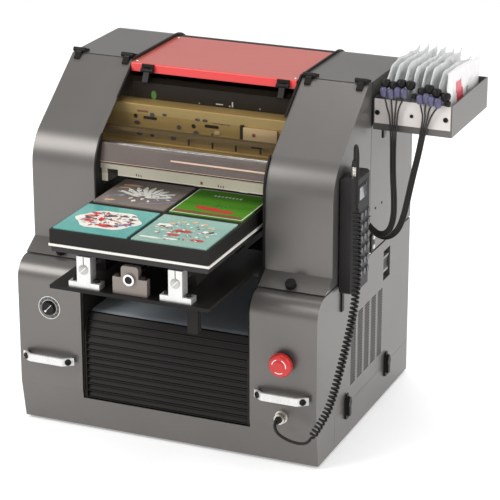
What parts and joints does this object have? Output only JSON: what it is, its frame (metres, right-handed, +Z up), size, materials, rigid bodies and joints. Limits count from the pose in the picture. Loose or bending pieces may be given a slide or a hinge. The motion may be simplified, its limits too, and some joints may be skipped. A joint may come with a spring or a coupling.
{
  "type": "flatbed uv printer",
  "caption": "Desktop flatbed UV printer with hinged tower covers, a sliding bed holding sample tiles, an open ink tray with bags and a wall-hung keypad on a curly cord.",
  "frame": {"origin": "centre of the footprint's bounding box without the cord nodes, on the floor", "axes": "+X to the operator's right, +Y to the back of the machine, +Z up; the operator stands at -Y"},
  "size_m": [0.678, 0.588, 0.622],
  "materials": {
    "dark_metal": "satin",
    "grey_metal": "satin",
    "black_metal": "satin",
    "rubber": "matte",
    "black_plastic": "matte",
    "plated_steel": "satin",
    "bright_metal": "polished",
    "red_metal": "gloss",
    "smoky_window": "gloss",
    "cream_plastic": "matte",
    "gold_metal": "satin",
    "silver_metal": "satin",
    "tile_ceramic": "gloss",
    "red_plastic": "gloss",
    "pendant_grey": "matte",
    "black_rubber": "matte",
    "bag_film": "gloss",
    "lavender_plastic": "matte",
    "black_tube": "gloss"
  },
  "bodies": {
    "casing": {"bag_fittings": "lavender_plastic", "base_pan": "dark_metal", "chassis_beam": "gold_metal", "cord_plug": "bright_metal", "drive_belt": "rubber", "electronics_box": "plated_steel", "engine_curtain": "black_metal", "engine_rear_cover": "black_metal", "feet": "rubber", "front_grille": "grey_metal", "front_panel": "dark_metal", "guide_shafts": "bright_metal", "handles": "silver_metal", "hinge_bases": "black_metal", "ink_bags": "bag_film", "ink_hose_left": "black_tube", "ink_hose_right": "black_tube", "ink_tray": "grey_metal", "inner_wall_left": "black_metal", "inner_wall_right": "black_metal", "media_strip": "cream_plastic", "panel_collars": "black_plastic", "pendant_body": "pendant_grey", "pendant_curl": "black_rubber", "pendant_holder": "black_plastic", "pendant_lead": "black_rubber", "pendant_plug": "bright_metal", "pendant_tail": "black_rubber", "power_inlet": "black_plastic", "rear_panel": "dark_metal", "red_lid": "red_metal", "shaft_supports": "silver_metal", "side_panel_left": "grey_metal", "side_panel_right": "grey_metal", "slide_plate": "black_metal", "stepper_motors": "black_metal", "tower_shell_left": "grey_metal", "tower_shell_right": "grey_metal"},
    "cover_left": {"tower_cover_left": "grey_metal", "hinge_flaps_left": "black_metal"},
    "cover_right": {"tower_cover_right": "grey_metal", "hinge_flaps_right": "black_metal"},
    "knob_left": {"thumb_knob_left": "black_plastic"},
    "knob_right": {"thumb_knob_right": "black_plastic"},
    "window_flap": {"window": "smoky_window", "hinge_flaps_window": "black_metal"},
    "engine": {"carriage": "black_plastic", "print_head": "plated_steel"},
    "pulley_drive": {"drive_pulley": "bright_metal"},
    "pulley_idler": {"idler_pulley": "bright_metal"},
    "bed": {"bed_carriage": "silver_metal", "bed_block": "black_metal", "sample_tiles": "tile_ceramic"},
    "screw": {"leadscrew": "bright_metal"},
    "dial": {"dial_knob": "black_plastic"},
    "stop": {"estop_button": "red_plastic"},
    "switch": {"power_switch": "black_plastic"},
    "latch_a": {"latch_front": "black_plastic"},
    "latch_b": {"latch_rear": "black_plastic"},
    "keys": {"pendant_keys": "cream_plastic"}
  },
  "joints": [
    {"name": "cover_left_hinge", "type": "hinge", "parent": "casing", "child": "cover_left", "pos_m": [-0.28, 0.0615, 0.6038], "axis": [-1, 0, 0], "range_deg": [0, 75]},
    {"name": "cover_right_hinge", "type": "hinge", "parent": "casing", "child": "cover_right", "pos_m": [0.142, 0.0615, 0.6038], "axis": [-1, 0, 0], "range_deg": [0, 75]},
    {"name": "knob_left_turn", "type": "hinge", "parent": "cover_left", "child": "knob_left", "pos_m": [-0.277, -0.12047, 0.30273], "axis": [0, -0.5226, 0.8526], "continuous": true},
    {"name": "knob_right_turn", "type": "hinge", "parent": "cover_right", "child": "knob_right", "pos_m": [0.139, -0.12047, 0.30273], "axis": [0, -0.5226, 0.8526], "continuous": true},
    {"name": "window_hinge", "type": "hinge", "parent": "casing", "child": "window_flap", "pos_m": [-0.069, 0.0365, 0.587], "axis": [-1, 0, 0], "range_deg": [0, 80]},
    {"name": "engine_slide", "type": "slide", "parent": "casing", "child": "engine", "axis": [1, 0, 0], "range_m": [-0.325, 0]},
    {"name": "pulley_drive_turn", "type": "hinge", "parent": "casing", "child": "pulley_drive", "pos_m": [-0.301, -0.022, 0.498], "axis": [0, 0, 1], "continuous": true},
    {"name": "pulley_idler_turn", "type": "hinge", "parent": "casing", "child": "pulley_idler", "pos_m": [0.163, -0.022, 0.498], "axis": [0, 0, 1], "continuous": true},
    {"name": "bed_slide", "type": "slide", "parent": "casing", "child": "bed", "axis": [0, 1, 0], "range_m": [0, 0.29]},
    {"name": "screw_turn", "type": "hinge", "parent": "casing", "child": "screw", "pos_m": [-0.069, -0.163, 0.3415], "axis": [0, 1, 0], "continuous": true},
    {"name": "dial_turn", "type": "hinge", "parent": "casing", "child": "dial", "pos_m": [-0.281, -0.163, 0.216], "axis": [0, -1, 0], "range_deg": [-270, 0]},
    {"name": "stop_press", "type": "slide", "parent": "casing", "child": "stop", "axis": [0, 1, 0], "range_m": [0, 0.005]},
    {"name": "switch_rock", "type": "hinge", "parent": "casing", "child": "switch", "pos_m": [0.196, 0.17, 0.251], "axis": [0, -1, 0], "range_deg": [0, 6]},
    {"name": "latch_front_turn", "type": "hinge", "parent": "casing", "child": "latch_a", "pos_m": [0.2014, -0.024, 0.039], "axis": [0, 1, 0], "range_deg": [0, 90]},
    {"name": "latch_rear_turn", "type": "hinge", "parent": "casing", "child": "latch_b", "pos_m": [0.2014, 0.173, 0.039], "axis": [0, 1, 0], "range_deg": [0, 90]},
    {"name": "keys_press", "type": "slide", "parent": "casing", "child": "keys", "axis": [-1, 0, 0], "range_m": [0, 0.0012], "stiffness_N_per_m": 600}
  ],
  "couplings": [
    {"joint": "pulley_drive_turn", "follows": "engine_slide", "rad_per_m": 180},
    {"joint": "pulley_idler_turn", "follows": "engine_slide", "rad_per_m": 180},
    {"joint": "screw_turn", "follows": "bed_slide", "rad_per_m": -628.32}
  ]
}
